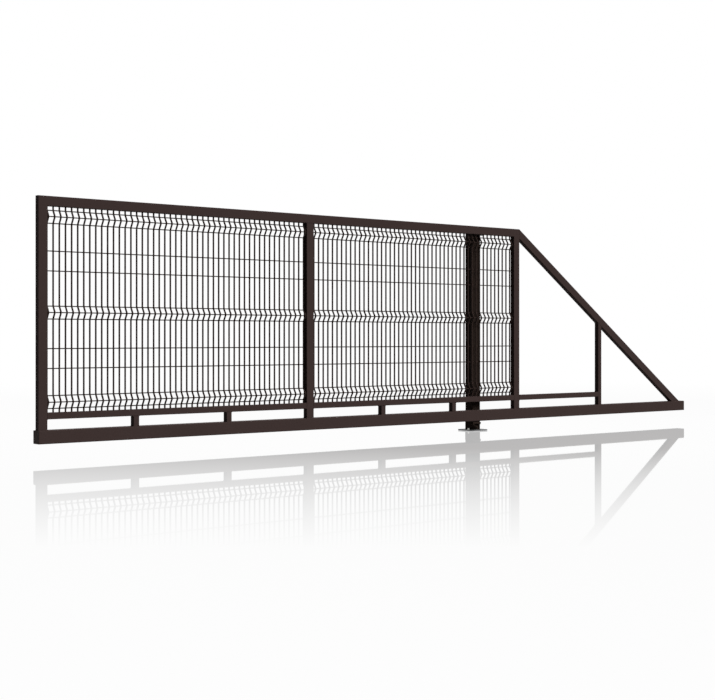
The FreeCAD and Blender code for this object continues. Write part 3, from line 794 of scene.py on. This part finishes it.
def world_light(ambient):
    """White all round to the eye and in reflections, and a low even light on the gate."""
    world = bpy.data.worlds.new("studio")
    bpy.context.scene.world = world
    world.use_nodes = True
    tree = world.node_tree
    tree.nodes.clear()
    strength = add_node(tree, "ShaderNodeMapRange", {"To Min": ambient, "To Max": 1.0},
                        {"Value": seen_by_eye(tree)})
    sky = add_node(tree, "ShaderNodeBackground", {"Color": (1, 1, 1, 1)},
                   {"Strength": strength.outputs["Result"]})
    output = tree.nodes.new("ShaderNodeOutputWorld")
    tree.links.new(sky.outputs["Background"], output.inputs["Surface"])


def mirror_share(stage, middle, tree, place):
    """An output with the floor's mirroring: strongest at a low angle, fading before and behind the gate."""
    fade_way = Vector((math.sin(stage.heading), math.cos(stage.heading), 0))
    along = add_node(tree, "ShaderNodeVectorMath", {"operation": "DOT_PRODUCT", 1: fade_way}, {0: place})
    aside = add_node(tree, "ShaderNodeMath", {"operation": "SUBTRACT", 1: fade_way.dot(middle)},
                     {0: along.outputs["Value"]})
    far = add_node(tree, "ShaderNodeMath", {"operation": "ABSOLUTE"}, {0: aside.outputs[0]})
    share = add_node(tree, "ShaderNodeMapRange",
                     {"From Min": stage.mirror_near, "From Max": stage.mirror_far,
                      "To Min": stage.mirror, "To Max": 0.0},
                     {"Value": far.outputs[0]})
    facing = add_node(tree, "ShaderNodeLayerWeight", {"Blend": 0.5})
    low_angle = add_node(tree, "ShaderNodeMath", {"operation": "POWER", 1: 2.0},
                         {0: facing.outputs["Facing"]})
    gloss = add_node(tree, "ShaderNodeMath", {"operation": "MULTIPLY"},
                     {0: share.outputs["Result"], 1: low_angle.outputs[0]})
    return gloss.outputs[0]


def polished_floor(stage, middle):
    """White polished floor: it mirrors the gate close by, keeps a faint shadow and is pure white far off."""
    material, tree, output = new_material("polished_floor")
    place = add_node(tree, "ShaderNodeTexCoord").outputs["Object"]
    reach = add_node(tree, "ShaderNodeVectorMath", {"operation": "LENGTH"}, {0: place})
    glow = add_node(tree, "ShaderNodeMapRange",
                    {"From Min": stage.white_near, "From Max": stage.white_far,
                     "To Min": stage.white_close, "To Max": 1.0},
                    {"Value": reach.outputs["Value"]})
    seen = add_node(tree, "ShaderNodeMath", {"operation": "MULTIPLY"},
                    {0: seen_by_eye(tree), 1: glow.outputs["Result"]})
    grey = stage.floor_grey
    matte = add_node(tree, "ShaderNodeBsdfDiffuse", {"Color": (grey, grey, grey, 1)})
    white = add_node(tree, "ShaderNodeEmission", {"Strength": 1.0})
    base = add_node(tree, "ShaderNodeMixShader",
                    links={0: seen.outputs[0], 1: matte.outputs["BSDF"], 2: white.outputs["Emission"]})
    mirror = add_node(tree, "ShaderNodeBsdfGlossy", {"Color": (1, 1, 1, 1), "Roughness": stage.mirror_blur})
    mixed = add_node(tree, "ShaderNodeMixShader",
                     links={0: mirror_share(stage, middle, tree, place),
                            1: base.outputs["Shader"], 2: mirror.outputs["BSDF"]})
    tree.links.new(mixed.outputs["Shader"], output.inputs["Surface"])
    return material


class GATE_OT_stage(bpy.types.Operator):
    """Lay the floor, light it and set the camera"""

    bl_idname = "gate.stage"
    bl_label = "Stage"

    def execute(self, context):
        stage = context.scene.gate_stage
        context.scene.view_settings.view_transform = "Standard"
        self.floor(stage)
        self.lamps(stage)
        world_light(stage.ambient)
        self.camera(stage)
        return {"FINISHED"}

    def floor(self, stage):
        """A wide disc just under the base plate."""
        deselect()
        bpy.ops.mesh.primitive_circle_add(
            vertices=FLOOR_SIDES, radius=stage.floor_radius, fill_type="NGON",
            location=(0, 0, -stage.floor_drop))
        floor = bpy.context.object
        bpy.ops.object.transform_apply(location=True)
        floor.name = "floor"
        rail_low, rail_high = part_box("bottom_rail")
        floor.data.materials.append(polished_floor(stage, (rail_low + rail_high) / 2))

    def lamps(self, stage):
        """A soft light on the front and its mirror image on the back."""
        for name, side, energy in (("key", 1, stage.key), ("rear", -1, stage.rear)):
            deselect()
            bpy.ops.object.light_add(type="SUN")
            lamp = bpy.context.object
            lamp.name = name
            way = Vector(stage.lamp_way)
            way.y *= side
            lamp.rotation_euler = way.to_track_quat("-Z", "Y").to_euler()
            lamp.data.energy = energy
            lamp.data.angle = stage.lamp_width
            # The polished floor would mirror the lamp as a glaring disc
            lamp.visible_glossy = False

    def camera(self, stage):
        """A level camera at the photograph's place, with its horizon on the photograph's row."""
        deselect()
        bpy.ops.object.camera_add(location=stage.camera_place, rotation=(math.pi / 2, 0, -stage.heading))
        camera = bpy.context.object
        camera.data.lens = camera.data.sensor_width * FOCAL_PIXELS / PHOTO_WIDTH
        camera.data.shift_y = (HORIZON_ROW - PHOTO_HEIGHT / 2) / PHOTO_WIDTH
        camera.data.clip_end = SIGHT
        bpy.context.scene.camera = camera


class GATE_PT_panel(bpy.types.Panel):
    """The steps that dress the gate"""

    bl_idname = "GATE_PT_panel"
    bl_label = "Sliding gate"
    bl_space_type = "VIEW_3D"
    bl_region_type = "UI"
    bl_category = "Gate"

    def draw(self, context):
        for step in STEPS:
            self.layout.operator(step.bl_idname)


STEPS = (GATE_OT_frame_finish, GATE_OT_mesh_wires, GATE_OT_welds, GATE_OT_fixings, GATE_OT_guide_rollers,
         GATE_OT_stage)
GROUPS = {"gate_mesh": GateMeshSizes, "gate_fixings": GateFixingSizes, "gate_finishes": GateFinishes,
          "gate_stage": GateStage}


def register():
    """Add the property groups, the operators and the panel."""
    for name, group in GROUPS.items():
        bpy.utils.register_class(group)
        setattr(bpy.types.Scene, name, bpy.props.PointerProperty(type=group))
    for thing in (*STEPS, GATE_PT_panel):
        bpy.utils.register_class(thing)


def unregister():
    """Take away the panel, the operators and the property groups."""
    for thing in reversed((*STEPS, GATE_PT_panel)):
        bpy.utils.unregister_class(thing)
    for name, group in reversed(GROUPS.items()):
        delattr(bpy.types.Scene, name)
        bpy.utils.unregister_class(group)


def main():
    """Dress the gate step by step."""
    register()
    bpy.ops.gate.frame_finish()
    bpy.ops.gate.mesh_wires()
    bpy.ops.gate.welds()
    bpy.ops.gate.fixings()
    bpy.ops.gate.guide_rollers()
    bpy.ops.gate.stage()


if __name__ == "__main__":
    main()
